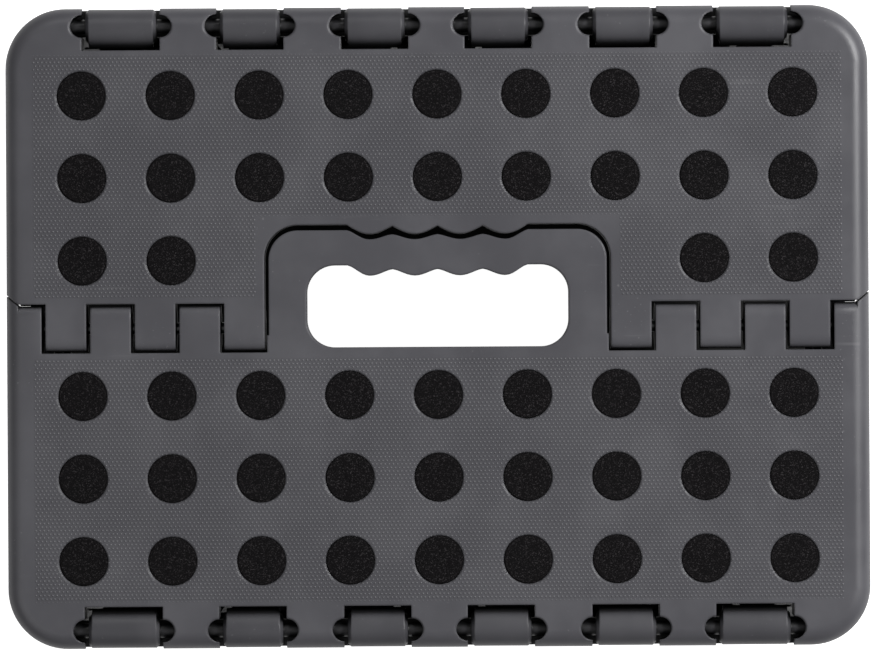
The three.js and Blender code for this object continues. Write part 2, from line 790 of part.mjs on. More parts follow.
addNode('rear_top_panel', rearTop(), greyPlastic);
addNode('front_top_panel', frontTop(), greyPlastic);
addNode('front_handle', handle(), greyPlastic);
for (const isRear of [true, false]) {
  const half = isRear ? 'rear' : 'front';
  addNode(`${half}_leg_panel`, placed(leg(), isRear, true), greyPlastic);
  for (const row of discRowsOfHalf(isRear)) {
    addNode(`${half}_grip_row_${row.name}`, placed(discRow(row), isRear, true), blackGrip);
  }
  for (const isRight of [true, false]) {
    const corner = `${half}_${isRight ? 'right' : 'left'}`;
    addNode(`${corner}_end_panel`, placed(endPanel(isRear), isRear, isRight), greyPlastic);
    addNode(`${corner}_corner_pin`, placed(cornerPin(), isRear, isRight), steel);
    addNode(`${corner}_foot_pad`, placed(footPad(), isRear, isRight), blackRubber);
  }
}
for (const isRight of [true, false]) {
  const side = isRight ? 'right' : 'left';
  const pin = barX(hingePinRadius, hingePinEnds, centreHinge.y, centreHinge.z);
  addNode(`${side}_centre_hinge_pin`, placed(pin, true, isRight), steel);
  addNode(`${side}_end_hinge_pin`, placed(foldingPin(), true, isRight), steel);
}

export default stool;
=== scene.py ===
"""A folding plastic step stool, seen from straight above, open on a white floor.

Every piece is made from finely faceted solids, and all but the grip discs and the pins get rounded edges.
Outlines are worked out in millimetres and scaled to metres at the end, so the sizes read as a designer
would write them.
"""

import json
import math
import random

import bpy
import bmesh
from mathutils import Matrix, Vector


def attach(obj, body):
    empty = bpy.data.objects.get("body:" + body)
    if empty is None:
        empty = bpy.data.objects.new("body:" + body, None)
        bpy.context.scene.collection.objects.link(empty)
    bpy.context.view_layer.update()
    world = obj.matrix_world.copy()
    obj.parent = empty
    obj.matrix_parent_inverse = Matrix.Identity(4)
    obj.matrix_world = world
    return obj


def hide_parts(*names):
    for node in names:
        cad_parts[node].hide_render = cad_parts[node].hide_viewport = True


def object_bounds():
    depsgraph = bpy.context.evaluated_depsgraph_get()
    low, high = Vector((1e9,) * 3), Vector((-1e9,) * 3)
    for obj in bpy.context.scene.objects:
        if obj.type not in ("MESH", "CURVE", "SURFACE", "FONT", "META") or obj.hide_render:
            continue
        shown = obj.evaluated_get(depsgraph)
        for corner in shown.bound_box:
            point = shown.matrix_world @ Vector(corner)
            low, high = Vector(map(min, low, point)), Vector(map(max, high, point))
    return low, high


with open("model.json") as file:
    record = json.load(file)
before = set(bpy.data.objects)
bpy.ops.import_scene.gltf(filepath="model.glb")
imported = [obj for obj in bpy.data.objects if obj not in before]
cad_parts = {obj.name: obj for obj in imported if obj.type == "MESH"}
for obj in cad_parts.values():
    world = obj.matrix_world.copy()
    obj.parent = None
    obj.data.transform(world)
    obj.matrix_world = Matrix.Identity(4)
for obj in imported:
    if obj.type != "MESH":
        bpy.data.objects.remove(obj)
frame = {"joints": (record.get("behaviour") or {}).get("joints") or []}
cad_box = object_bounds()

MM = 0.001


def joint_place(name):
    """Where a joint's axis lies, in millimetres."""
    joint = next(j for j in frame["joints"] if j["name"] == name)
    return Vector(joint["pos_m"]) / MM


# ---- Sizes from the frame, in millimetres ----------------------------------------------------

LENGTH, DEPTH, HEIGHT = (cad_box[1] - cad_box[0]) / MM
OUTER_HINGE = joint_place("fold")
CENTRE_HINGE = joint_place("centre_fold")
CORNER_HINGE = joint_place("rear_right_end_fold")
HINGE_DROP = OUTER_HINGE.z - CENTRE_HINGE.z
EDGE_RADIUS = HEIGHT - OUTER_HINGE.z

# ---- Sizes of the details ---------------------------------------------------------------------

CORNER_RADIUS = 20.5
RUNNING_GAP = 0.3
FOLD_GAP = 0.5
SKIN = 3.0
RIB_WALL = 2.4
OUTER_WALL = 3.0

FINGER_REACH = 7.8
FINGER_TIP_GAP = 0.6
LIP_GAP = 0.1
FINGER_GAP = 1.4
FINGER_PITCH = 15.25
FINGER_ROWS = 6
FINGER_TIP_RUN = 4.6  # how far back a finger's rounded tip starts
FINGER_TIP_DROP = 2.2
EDGE_FINGER_CHAMFER = 4.2
EDGE_FINGER_SLOPE = 0.8
KNUCKLE_RADIUS = 6.5
HINGE_PIN_RADIUS = 2.0

HANDLE_HALF_WIDTH = 57.7
HANDLE_REACH = 33.2
HANDLE_CORNER = 10.0
HANDLE_SIDE_GAP = 1.45
HANDLE_END_GAP = 1.9
HANDLE_ROOT_STEP = 0.6
HANDLE_ROOT_TOP = -2.5
HANDLE_WALL = 2.6
SCALLOP_PITCH = 15.5
SCALLOP_PAIRS = 2
SCALLOP_DEPTH = 3.2
SCALLOP_RIDGE = 1.5
RECESS_CUSP = 0.4
LOBE_FULLNESS = 0.75  # below 1 the lobes are broad and the crests between them narrow
GRIP_HALF_WIDTH = 44.8
GRIP_NEAR = -6.8
GRIP_FAR = 21.3
GRIP_CORNER = 9.5
GRIP_SCALLOP_DEPTH = 3.6
GRIP_RIDGE = 1.4

DISC_RADIUS = 8.2
DISC_GAP = 0.15
DISC_RIM = 0.35  # the chamfer round a disc's recess
DISC_PITCH_X = 30.35
DISC_PITCH_Y = 28.2
DISC_FIRST_ROW = 23.1
DISCS_PER_SIDE = 4
DISC_ROWS = 3
DISC_RECESS = 1.2
DISC_SINK = 0.2
STEM_RADIUS = 2.2
RUNNER_WIDTH = 4.0
RUNNER_THICKNESS = 1.6
RUNNER_SINK = 0.02  # below the end of the discs' stems

GRIT_RINGS = 11  # in a disc's uneven top
GRIT_SIDES = 40
GRIT_JITTER = 0.25
GRIT_DEPTH = 0.11
DISC_EDGE = 0.35

BARREL_PLACES = (21.1, 63.7, 107.8)
BARREL_WIDTHS = (20.5, 20.5, 24.2)
BARREL_CHAMFER = 1.1
SLOT_GAP = 1.25
SLOT_DEPTH = 14.5
SCOOP_RADIUS = 3.9
SCOOP_RIM = 0.5
STUB_RADIUS = 2.5
STUB_LENGTH = 7.4
STUB_CHAMFER = 0.5
CHEEK_GAP = 0.7  # between a barrel's inner cheek and the slot behind it

LEG_INSET = 0.4
LEG_INNER_OFFSET = 3.3
LEG_HALF_WIDTH = 136.0
LEG_EDGE_RADIUS = 6.0
LEG_SKIN = 3.0
ARCH_HALF_FOOT = 96.0
ARCH_HALF_TOP = 76.0
ARCH_HEIGHT = 68.0
ARCH_CORNER = 22.0
FOOT_HEIGHT = 12.0
PAD_FLOOR = 4.0
PAD_WALL = 1.8
GROOVES = 7  # under each foot pad
FIRST_GROOVE = 3.0
GROOVE_PITCH = 5.0
GROOVE_WIDTH = 1.4
GROOVE_DEPTH = 0.8

END_THICKNESS = 8.0
END_TOP_GAP = 3.0
END_BOTTOM = 12.0
END_SKIN = 2.8
END_ARCH_HALF = 58.0
END_ARCH_HALF_TOP = 46.0
END_ARCH_HEIGHT = 66.0
END_ARCH_CORNER = 16.0
CORNER_KNUCKLE_RADIUS = 3.8
CORNER_PIN_RADIUS = 1.7
ARM_PLACES = (44.0, 106.0, 168.0)
ARM_HEIGHT = 20.0
FOLDING_KNUCKLE_RADIUS = 4.0
FOLDING_KNUCKLES = 4
FOLDING_PIN_RADIUS = 1.7
LEG_WHOLE_COLUMNS = 3  # of rib pockets beside the middle one, each as wide as the discs' pitch
END_COLUMNS = 3
PIN_END_ROUND = 0.4

CORNER_STEPS = 20
EDGE_STEPS = 9
WAVE_STEPS = 12
ROUND_SIDES = 48
BORE_SIDES = 28
NEAR_AXIS = 0.01

PANEL_BOTTOM = CENTRE_HINGE.z + FOLD_GAP
LEG_OUTER = DEPTH / 2 - LEG_INSET
LEG_INNER = OUTER_HINGE.y - LEG_INNER_OFFSET
LEG_TOP = OUTER_HINGE.z - EDGE_RADIUS - RUNNING_GAP
FOLDING_HINGE_X = CORNER_HINGE.x + HINGE_DROP
END_OUTER = FOLDING_HINGE_X - RUNNING_GAP
END_INNER = END_OUTER - END_THICKNESS
END_REACH = LEG_INNER - RUNNING_GAP
END_TOP = CENTRE_HINGE.z - KNUCKLE_RADIUS - END_TOP_GAP
SLOT_WALL = DEPTH / 2 - SLOT_DEPTH
SLOT_WALL_RADIUS = OUTER_HINGE.y - SLOT_WALL
FAR = LENGTH + DEPTH
PAST = 50.0  # how far a cutter runs past the solid that it cuts
RELIEF_PAST = 60.0  # the same for the relief that clears the legs' tops
THROUGH = (PANEL_BOTTOM - PAST, HEIGHT + PAST)

# ---- Closed meshes, in millimetres: each is a list of points and a list of faces ---------------


def arc(x, y, radius, start, end, steps=CORNER_STEPS):
    """Points of an arc, both ends included; angles in degrees."""
    angles = (math.radians(start + (end - start) * i / steps) for i in range(steps + 1))
    return [(x + radius * math.cos(a), y + radius * math.sin(a)) for a in angles]


def curve_through(start, control, end, steps=CORNER_STEPS):
    """A quadratic curve's points, both ends included."""
    points = []
    for i in range(steps + 1):
        t = i / steps
        weights = ((1 - t) ** 2, 2 * t * (1 - t), t * t)
        corners = (start, control, end)
        points.append(tuple(sum(w * c[k] for w, c in zip(weights, corners)) for k in (0, 1)))
    return points


def prism(outline, low, high, axis="z"):
    """An outline run along an axis. It is drawn in the other two axes, in X, Y, Z order."""
    points = []
    for along in (low, high):
        for u, v in outline:
            points.append({"x": (along, u, v), "y": (u, along, v), "z": (u, v, along)}[axis])
    n = len(outline)
    faces = [tuple(range(n)), tuple(range(2 * n - 1, n - 1, -1))]
    faces += [(i, (i + 1) % n, n + (i + 1) % n, n + i) for i in range(n)]
    return points, faces


def block(x, y, z):
    return prism([(x[0], y[0]), (x[1], y[0]), (x[1], y[1]), (x[0], y[1])], z[0], z[1])


def bar_x(radius, x, y, z, sides=BORE_SIDES):
    return prism(arc(y, z, radius, 0, 360, sides)[:-1], x[0], x[1], "x")


def bar_z(radius, z, x, y, sides=BORE_SIDES):
    return prism(arc(x, y, radius, 0, 360, sides)[:-1], z[0], z[1], "z")


def flared_bore(radius, low, x, y, flare, sides=ROUND_SIDES):
    """A cutter for a round hole in the top surface, with a chamfered rim."""
    rings = []
    for r, z in ((radius, low), (radius, HEIGHT - flare), (radius + flare + 1, HEIGHT + 1)):
        rings.append([(u, v, z) for u, v in arc(x, y, r, 0, 360, sides)[:-1]])
    return lofted(rings)


def lofted(rings):
    """A closed solid through rings of equally many points, from one end to the other."""
    n = len(rings[0])
    points = [p for ring in rings for p in ring]
    faces = [tuple(range(n)), tuple(range(len(points) - 1, len(points) - n - 1, -1))]
    for ring in range(len(rings) - 1):
        low = ring * n
        faces += [(low + i, low + (i + 1) % n, low + n + (i + 1) % n, low + n + i) for i in range(n)]
    return points, faces


def turned_x(profile, x, y, z, sides=ROUND_SIDES):
    """A profile of (radius, place along X) turned round the X axis through a point."""
    rings = []
    for radius, along in profile:
        rings.append([(x + along, v, w) for v, w in arc(y, z, radius, 0, 360, sides)[:-1]])
    return lofted(rings)


def mirrored(parts, x=False, y=False):
    sign = (-1 if x else 1, -1 if y else 1)
    return [([(p[0] * sign[0], p[1] * sign[1], p[2]) for p in points], faces) for points, faces in parts]


def on_both_sides(parts):
    return parts + mirrored(parts, x=True)


# ---- Joining and cutting ------------------------------------------------------------------------


def solid(parts, name="solid"):
    """One object of closed parts that don't overlap."""
    shape = bmesh.new()
    for points, faces in parts:
        made = [shape.verts.new(p) for p in points]
        for face in faces:
            shape.faces.new([made[i] for i in face])
    bmesh.ops.recalc_face_normals(shape, faces=shape.faces)
    mesh = bpy.data.meshes.new(name)
    shape.to_mesh(mesh)
    shape.free()
    made = bpy.data.objects.new(name, mesh)
    bpy.context.scene.collection.objects.link(made)
    return made


def combined(base, parts, operation):
    """The base with the parts joined to it, cut out of it, or cut down to them."""
    tool = solid(parts, "tool")
    step = base.modifiers.new("step", "BOOLEAN")
    step.operation, step.solver, step.object = operation, "MANIFOLD", tool
    bpy.context.view_layer.update()
    whole = base.evaluated_get(bpy.context.evaluated_depsgraph_get())
    mesh = bpy.data.meshes.new_from_object(whole)
    base.modifiers.clear()
    old, base.data = base.data, mesh
    bpy.data.meshes.remove(old)
    bpy.data.objects.remove(tool)
    return base


def cut(base, *groups):
    for parts in groups:
        combined(base, parts, "DIFFERENCE")
    return base


def join(base, *groups):
    for parts in groups:
        combined(base, parts, "UNION")
    return base


# ---- The top's outlines -------------------------------------------------------------------------


def rounded_ring(inset, z):
    radius = CORNER_RADIUS - inset
    x, y = LENGTH / 2 - CORNER_RADIUS, DEPTH / 2 - CORNER_RADIUS
    ring = []
    for sign_x, sign_y, start in ((1, 1, 0), (-1, 1, 90), (-1, -1, 180), (1, -1, 270)):
        ring += arc(sign_x * x, sign_y * y, radius, start, start + 90)
    return [(u, v, z) for u, v in ring]


def top_form():
    rings = [rounded_ring(0, PANEL_BOTTOM)]
    for step in range(EDGE_STEPS + 1):
        angle = math.radians(90 * step / EDGE_STEPS)
        inset = EDGE_RADIUS * (1 - math.cos(angle))
        rings.append(rounded_ring(inset, HEIGHT - EDGE_RADIUS * (1 - math.sin(angle))))
    return lofted(rings)


def scallops(end, depth_below, ridge_below, sharp):
    """The line across the handle's end, from +X to -X: soft waves, or sharp cusps between lobes."""
    points = []
    steps = 2 * SCALLOP_PAIRS * WAVE_STEPS
    for step in range(steps, -1, -1):
        phase = step / WAVE_STEPS - SCALLOP_PAIRS
        ridge = 0 if abs(phase) > SCALLOP_PAIRS - 0.5 else ridge_below
        soft = ((1 - math.cos(2 * math.pi * phase)) / 2) ** LOBE_FULLNESS
        wave = abs(math.sin(math.pi * phase)) if sharp else soft
        points.append((phase * SCALLOP_PITCH, end - ridge - (depth_below - ridge) * wave))
    return points


def gap_place(index):
    return HANDLE_HALF_WIDTH + FINGER_GAP / 2 + index * FINGER_PITCH


def finger_line(is_front):
    """One half's side of the joint, right of the handle, from its first finger's side outwards."""
    side = 1 if is_front else -1
    at_front = FINGER_REACH if is_front else FINGER_REACH + FINGER_TIP_GAP
    at_rear = -FINGER_REACH - FINGER_TIP_GAP if is_front else -FINGER_REACH
    line = []
    for index in range(FINGER_ROWS):
        front_inside = index % 2 == 0
        x = gap_place(index) + (-side if front_inside else side) * FINGER_GAP / 2
        inside, outside = (at_front, at_rear) if front_inside else (at_rear, at_front)
        line += [(x, inside), (x, outside)]
    slant = LENGTH / 2 - EDGE_FINGER_CHAMFER
    return line + [(slant, at_front), (slant + FAR, at_front + FAR * EDGE_FINGER_SLOPE)]


def mirrored_line(line):
    return [(-x, y) for x, y in reversed(line)]


def handle_line(half_width, end, corner, waves, root_y):
    """The outline of the handle, its recess or its hole, from the right root over to the left."""
    right = [(half_width, root_y)] + arc(half_width - corner, end - corner, corner, 0, 90)
    return right + waves + mirrored_line(right)


def front_plan():
    fingers = finger_line(True)[2:][::-1]
    waves = scallops(HANDLE_REACH, SCALLOP_DEPTH, SCALLOP_RIDGE, False)
    root = HANDLE_HALF_WIDTH + HANDLE_ROOT_STEP
    step = [(root, -FINGER_REACH - FINGER_TIP_GAP), (root, HANDLE_ROOT_TOP)]
    handle = handle_line(HANDLE_HALF_WIDTH, HANDLE_REACH, HANDLE_CORNER, waves, HANDLE_ROOT_TOP)
    right = fingers + step
    return [(-FAR, -FAR), (2 * FAR, -FAR)] + right + handle + mirrored_line(right)


def rear_plan():
    fingers = finger_line(False)
    half_width = HANDLE_HALF_WIDTH + HANDLE_SIDE_GAP
    end = HANDLE_REACH + HANDLE_END_GAP
    waves = scallops(end, SCALLOP_DEPTH, RECESS_CUSP, True)
    recess = handle_line(half_width, end, HANDLE_CORNER + HANDLE_SIDE_GAP, waves, FINGER_REACH)
    right = [(half_width, -FINGER_REACH)] + fingers[2:]
    return mirrored_line(right) + recess[::-1] + right + [(2 * FAR, 2 * FAR), (-2 * FAR, 2 * FAR)]


# ---- Features of a top half, drawn for the rear one ---------------------------------------------


def lug_relief():
    inner = LEG_INNER_OFFSET + RUNNING_GAP
    turn = math.degrees(math.acos(-inner / EDGE_RADIUS))
    y, z = OUTER_HINGE.y, OUTER_HINGE.z
    outline = arc(y, z, EDGE_RADIUS, -turn, 0)
    outside, below = y + RELIEF_PAST, z - RELIEF_PAST
    outline = [(y - inner, below)] + outline + [(outside, z), (outside, below)]
    return [prism(outline, -FAR, FAR, "x")]


def barrel_slots():
    parts = []
    for x, width in zip(BARREL_PLACES, BARREL_WIDTHS):
        half = width / 2 + SLOT_GAP
        parts.append(block((x - half, x + half), (SLOT_WALL, DEPTH), THROUGH))
    return on_both_sides(parts)


def barrel_scoops():
    parts = []
    for x, width in zip(BARREL_PLACES, BARREL_WIDTHS):
        half = width / 2 + SLOT_GAP
        for end in (x - half, x + half):
            parts.append(flared_bore(SCOOP_RADIUS, THROUGH[0], end, OUTER_HINGE.y, SCOOP_RIM))
    return on_both_sides(parts)


def stub_bores():
    parts = []
    for x, width in zip(BARREL_PLACES, BARREL_WIDTHS):
        reach = width / 2 + STUB_LENGTH + RUNNING_GAP
        ends = (x - reach, x + reach)
        parts.append(bar_x(STUB_RADIUS + RUNNING_GAP, ends, OUTER_HINGE.y, OUTER_HINGE.z))
    return on_both_sides(parts)


def under_pockets(is_rear):
    parts = []
    half = (DISC_PITCH_X - RIB_WALL) / 2
    recess_edge = HANDLE_HALF_WIDTH + HANDLE_SIDE_GAP + OUTER_WALL
    for row in range(DISC_ROWS):
        centre = DISC_FIRST_ROW + row * DISC_PITCH_Y
        near = centre - (DISC_PITCH_Y - RIB_WALL) / 2
        if row == 0:
            near = FINGER_REACH + FINGER_TIP_GAP + OUTER_WALL
        far_side = min(centre + (DISC_PITCH_Y - RIB_WALL) / 2, SLOT_WALL - OUTER_WALL)
        for column in range(-DISCS_PER_SIDE, DISCS_PER_SIDE + 1):
            x = column * DISC_PITCH_X
            low, high = x - half, x + half
            if is_rear and row == 0:
                if abs(x) <= recess_edge - half:
                    continue
                low, high = (max(low, recess_edge), high) if x > 0 else (low, min(high, -recess_edge))
            parts.append(block((low, high), (near, far_side), (THROUGH[0], HEIGHT - SKIN)))
    return parts


# ---- Rows of grip discs -------------------------------------------------------------------------


def disc_rows(is_rear):
    """The rows of one half: a name's ending, how far from the middle, and the discs' places."""
    places = [k * DISC_PITCH_X for k in range(-DISCS_PER_SIDE, DISCS_PER_SIDE + 1)]
    beside = HANDLE_HALF_WIDTH + HANDLE_SIDE_GAP + OUTER_WALL + DISC_RADIUS
    rows = []
    for row in range(DISC_ROWS):
        y = DISC_FIRST_ROW + row * DISC_PITCH_Y
        if is_rear and row == 0:
            rows.append(("1_left", y, [x for x in places if x < -beside]))
            rows.append(("1_right", y, [x for x in places if x > beside]))
        else:
            rows.append((str(row + 1), y, places))
    return rows


RUNNER_TOP = HEIGHT - SKIN - RUNNING_GAP


def disc_recesses(rows):
    low = HEIGHT - DISC_RECESS
    return [flared_bore(DISC_RADIUS + DISC_GAP, low, x, y, DISC_RIM) for _, y, xs in rows for x in xs]


def stem_holes(rows):
    ends = (HEIGHT - SKIN - RUNNER_THICKNESS, HEIGHT)
    return [bar_z(STEM_RADIUS + RUNNING_GAP, ends, x, y) for _, y, xs in rows for x in xs]


def runner_channels(rows):
    parts = []
    half = RUNNER_WIDTH / 2 + RUNNING_GAP
    reach = STEM_RADIUS + RUNNING_GAP
    low = RUNNER_TOP - RUNNER_THICKNESS - RUNNING_GAP
    for _, y, xs in rows:
        parts.append(block((xs[0] - reach, xs[-1] + reach), (y - half, y + half), (low, HEIGHT - SKIN)))
    return parts


# ---- The finger hinge ---------------------------------------------------------------------------

KNUCKLE_END = LENGTH / 2 - EDGE_RADIUS / 2


def finger_ranges(is_front):
    ranges = []
    for index in range(1 if is_front else 0, FINGER_ROWS, 2):
        start = gap_place(index) + FINGER_GAP / 2 if index else HANDLE_HALF_WIDTH + HANDLE_SIDE_GAP
        end = gap_place(index + 1) - FINGER_GAP / 2 if index + 1 < FINGER_ROWS else KNUCKLE_END
        ranges.append((start, end))
    return ranges


def knuckles(is_front):
    parts = [bar_x(KNUCKLE_RADIUS, ends, 0, CENTRE_HINGE.z, ROUND_SIDES) for ends in finger_ranges(is_front)]
    return on_both_sides(parts)


def finger_tip_rounds(is_front):
    past, above = FINGER_REACH + FINGER_TIP_GAP / 2, HEIGHT + 3
    start = FINGER_REACH - FINGER_TIP_RUN
    tip = [
        (start + FINGER_TIP_RUN * u, HEIGHT - FINGER_TIP_DROP * (1 - v))
        for u, v in arc(0, 0, 1, 90, 0, 2 * EDGE_STEPS)
    ]
    outline = [(start, above)] + tip + [(past, HEIGHT - FINGER_TIP_DROP), (past, above)]
    reach = FINGER_GAP / 4
    last = LENGTH / 2 - EDGE_FINGER_CHAMFER
    parts = []
    for low, high in finger_ranges(is_front):
        parts.append(prism(outline, low - reach, min(high + reach, last), "x"))
    return mirrored(on_both_sides(parts), y=not is_front)


def hinge_pin_bores():
    ends = (HANDLE_HALF_WIDTH + HANDLE_ROOT_STEP + RUNNING_GAP, LENGTH)
    return on_both_sides([bar_x(HINGE_PIN_RADIUS + RUNNING_GAP, ends, 0, CENTRE_HINGE.z)])


# ---- The top halves -----------------------------------------------------------------------------


def top_half(plan, is_rear):
    rows = disc_rows(is_rear)
    half = combined(solid([top_form()]), [prism(plan, *THROUGH)], "INTERSECT")
    for parts in (
        lug_relief(),
        barrel_slots(),
        barrel_scoops(),
        stub_bores(),
        under_pockets(is_rear),
        disc_recesses(rows),
        stem_holes(rows),
        runner_channels(rows),
    ):
        cut(half, mirrored(parts, y=not is_rear))
    cut(half, finger_tip_rounds(not is_rear))
    join(half, knuckles(not is_rear))
    return cut(half, hinge_pin_bores())


def grip_hole():
    waves = scallops(GRIP_FAR, GRIP_SCALLOP_DEPTH, GRIP_RIDGE, False)
    low = GRIP_NEAR + GRIP_CORNER
    upper = handle_line(GRIP_HALF_WIDTH, GRIP_FAR, GRIP_CORNER, waves, low)
    inner = GRIP_HALF_WIDTH - GRIP_CORNER
    left = arc(-inner, low, GRIP_CORNER, 180, 270)[1:]
    right = arc(inner, low, GRIP_CORNER, 270, 360)[:-1]
    return [prism(upper + left + right, *THROUGH)]


def handle_pockets():
    z = (THROUGH[0], HEIGHT - SKIN)
    arm = (GRIP_HALF_WIDTH + HANDLE_WALL, HANDLE_HALF_WIDTH - HANDLE_WALL)
    across = (GRIP_FAR + HANDLE_WALL, HANDLE_REACH - SCALLOP_DEPTH - HANDLE_WALL)
    bar_end = GRIP_HALF_WIDTH - GRIP_CORNER
    arms = on_both_sides([block(arm, (GRIP_NEAR, HANDLE_REACH - HANDLE_CORNER), z)])
    return arms + [block((-bar_end, bar_end), across, z)]


def joint_lips():
    """Lips under the outermost fingers' tips, which close the joint's ends from below."""
    x = (gap_place(FINGER_ROWS - 1), LENGTH / 2 - EDGE_FINGER_CHAMFER)
    y = (FINGER_REACH + LIP_GAP, FINGER_REACH + OUTER_WALL)
    return on_both_sides([block(x, y, (PANEL_BOTTOM, PANEL_BOTTOM + OUTER_WALL))])


def rear_top():
    return join(top_half(rear_plan(), True), joint_lips())


def front_top():
    return cut(top_half(front_plan(), False), grip_hole(), handle_pockets())


# ---- Legs, drawn for the rear one ---------------------------------------------------------------


def barrel(x, width):
    half, radius = width / 2, EDGE_RADIUS - RUNNING_GAP
    side = [
        (NEAR_AXIS, half + STUB_LENGTH),
        (STUB_RADIUS - STUB_CHAMFER, half + STUB_LENGTH),
        (STUB_RADIUS, half + STUB_LENGTH - STUB_CHAMFER),
        (STUB_RADIUS, half),
        (radius - BARREL_CHAMFER, half),
        (radius, half - BARREL_CHAMFER),
    ]
    profile = side + [(r, -along) for r, along in reversed(side)]
    return turned_x(profile, x, OUTER_HINGE.y, OUTER_HINGE.z)


def barrel_post(x, width):
    """The barrel's foot. Its cheek curves down on the inner side, inside the slot's turning circle."""
    half = width / 2 - BARREL_CHAMFER
    reach, radius = SLOT_WALL_RADIUS - CHEEK_GAP, EDGE_RADIUS - RUNNING_GAP
    y, z = OUTER_HINGE.y, OUTER_HINGE.z
    cheek = [(y + reach * u, z + radius * v) for u, v in arc(0, 0, 1, 90, 180)]
    outline = cheek + [(LEG_INNER, LEG_TOP - LEG_SKIN), (LEG_OUTER, LEG_TOP - LEG_SKIN), (LEG_OUTER, z)]
    return prism(outline, x - half, x + half, "x")


def leg_plan(start, end, inset, round_start):
    radius, outer, inner = LEG_EDGE_RADIUS - inset, LEG_OUTER - inset, LEG_INNER + inset
    outline = [(start, inner), (end, inner)] + arc(end - radius, outer - radius, radius, 0, 90)
    if round_start:
        return outline + arc(start + radius, outer - radius, radius, 90, 180)
    return outline + [(start, outer)]


def arch(half_foot, half_top, top, corner):
    """An arch open at the floor, as an outline across and up."""
    slope = (half_foot - half_top) / top
    low = -top / 2
    foot = (half_foot - slope * low, low)
    start = (half_top + slope * corner, top - corner)
    right = [foot] + curve_through(start, (half_top, top), (half_top - corner, top))
    return right + mirrored_line(right)


def leg_pockets():
    y = (LEG_INNER - PAST, LEG_OUTER - LEG_SKIN)
    lowest, highest = ARCH_HEIGHT + 2 * OUTER_WALL, LEG_TOP - 2 * OUTER_WALL
    middle = (lowest + highest) / 2
    rows = ((lowest, middle - RIB_WALL / 2), (middle + RIB_WALL / 2, highest))
    solid_column = CORNER_HINGE.x - CORNER_KNUCKLE_RADIUS - 2 * RUNNING_GAP - OUTER_WALL
    half = (DISC_PITCH_X - RIB_WALL) / 2
    whole = LEG_WHOLE_COLUMNS
    columns = [(k * DISC_PITCH_X - half, k * DISC_PITCH_X + half) for k in range(-whole, whole + 1)]
    outer = ((whole + 0.5) * DISC_PITCH_X + RIB_WALL / 2, solid_column)
    columns += [outer, (-outer[1], -outer[0])]
    parts = [block(x, y, z) for x in columns for z in rows]
    foot_x = (ARCH_HALF_FOOT + OUTER_WALL, solid_column)
    foot_z = (FOOT_HEIGHT + 2 * OUTER_WALL, lowest - RIB_WALL)
    return parts + on_both_sides([block(foot_x, y, foot_z)])


def arm_notches():
    left = CORNER_HINGE.x - CORNER_KNUCKLE_RADIUS - 2 * RUNNING_GAP
    y = (LEG_INNER - OUTER_WALL, OUTER_HINGE.y + CORNER_KNUCKLE_RADIUS + 2 * RUNNING_GAP)
    half = ARM_HEIGHT / 2 + RUNNING_GAP
    parts = [block((left, LEG_HALF_WIDTH + OUTER_WALL), y, (z - half, z + half)) for z in ARM_PLACES]
    return on_both_sides(parts)


PAD_INNER_X = ARCH_HALF_FOOT + OUTER_WALL
CORNER_PIN_ENDS = (ARM_PLACES[0] - ARM_HEIGHT, ARM_PLACES[-1] + ARM_HEIGHT)


def leg():
    body = prism(leg_plan(-LEG_HALF_WIDTH, LEG_HALF_WIDTH, 0, True), FOOT_HEIGHT + RUNNING_GAP, LEG_TOP)
    gap = PAD_WALL + RUNNING_GAP
    tenon = leg_plan(PAD_INNER_X + gap, LEG_HALF_WIDTH - gap, gap, False)
    tenons = on_both_sides([prism(tenon, PAD_FLOOR + RUNNING_GAP, FOOT_HEIGHT + OUTER_WALL)])
    bore_z = (CORNER_PIN_ENDS[0] - RUNNING_GAP, HEIGHT)
    bore = bar_z(CORNER_PIN_RADIUS + RUNNING_GAP, bore_z, CORNER_HINGE.x, OUTER_HINGE.y)
    barrels = list(zip(BARREL_PLACES, BARREL_WIDTHS))
    made = cut(
        solid([body]),
        [prism(arch(ARCH_HALF_FOOT, ARCH_HALF_TOP, ARCH_HEIGHT, ARCH_CORNER), 0, DEPTH, "y")],
        leg_pockets(),
    )
    join(
        made,
        tenons,
        on_both_sides([barrel_post(x, width) for x, width in barrels]),
        on_both_sides([barrel(x, width) for x, width in barrels]),
    )
    return cut(made, arm_notches(), on_both_sides([bore]))


def foot_pad():
    outer = leg_plan(PAD_INNER_X, LEG_HALF_WIDTH, 0, False)
    socket = leg_plan(PAD_INNER_X + PAD_WALL, LEG_HALF_WIDTH - PAD_WALL, PAD_WALL, False)
    across = (LEG_INNER - 1, LEG_OUTER + 1)
    grooves = []
    for index in range(GROOVES):
        start = PAD_INNER_X + FIRST_GROOVE + index * GROOVE_PITCH
        grooves.append(block((start, start + GROOVE_WIDTH), across, (-1, GROOVE_DEPTH)))
    pad = solid([prism(outer, 0, FOOT_HEIGHT)])
    return cut(pad, [prism(socket, PAD_FLOOR, FOOT_HEIGHT + OUTER_WALL)], grooves)


# ---- End panels, drawn at the rear right --------------------------------------------------------

KNUCKLE_BASE = END_ARCH_HEIGHT + OUTER_WALL
KNUCKLE_STEP = (END_TOP - KNUCKLE_BASE) / FOLDING_KNUCKLES


def corner_arm(z):
    x, y, radius = CORNER_HINGE.x, OUTER_HINGE.y, CORNER_KNUCKLE_RADIUS
    outline = arc(x, y, radius, 60, 270)
    outline += [(END_INNER, y - radius), (END_INNER, y - 3 * radius), (END_OUTER, y - 3 * radius)]
    outline += [(END_OUTER, END_REACH)]
    return prism(outline, z - ARM_HEIGHT / 2, z + ARM_HEIGHT / 2)


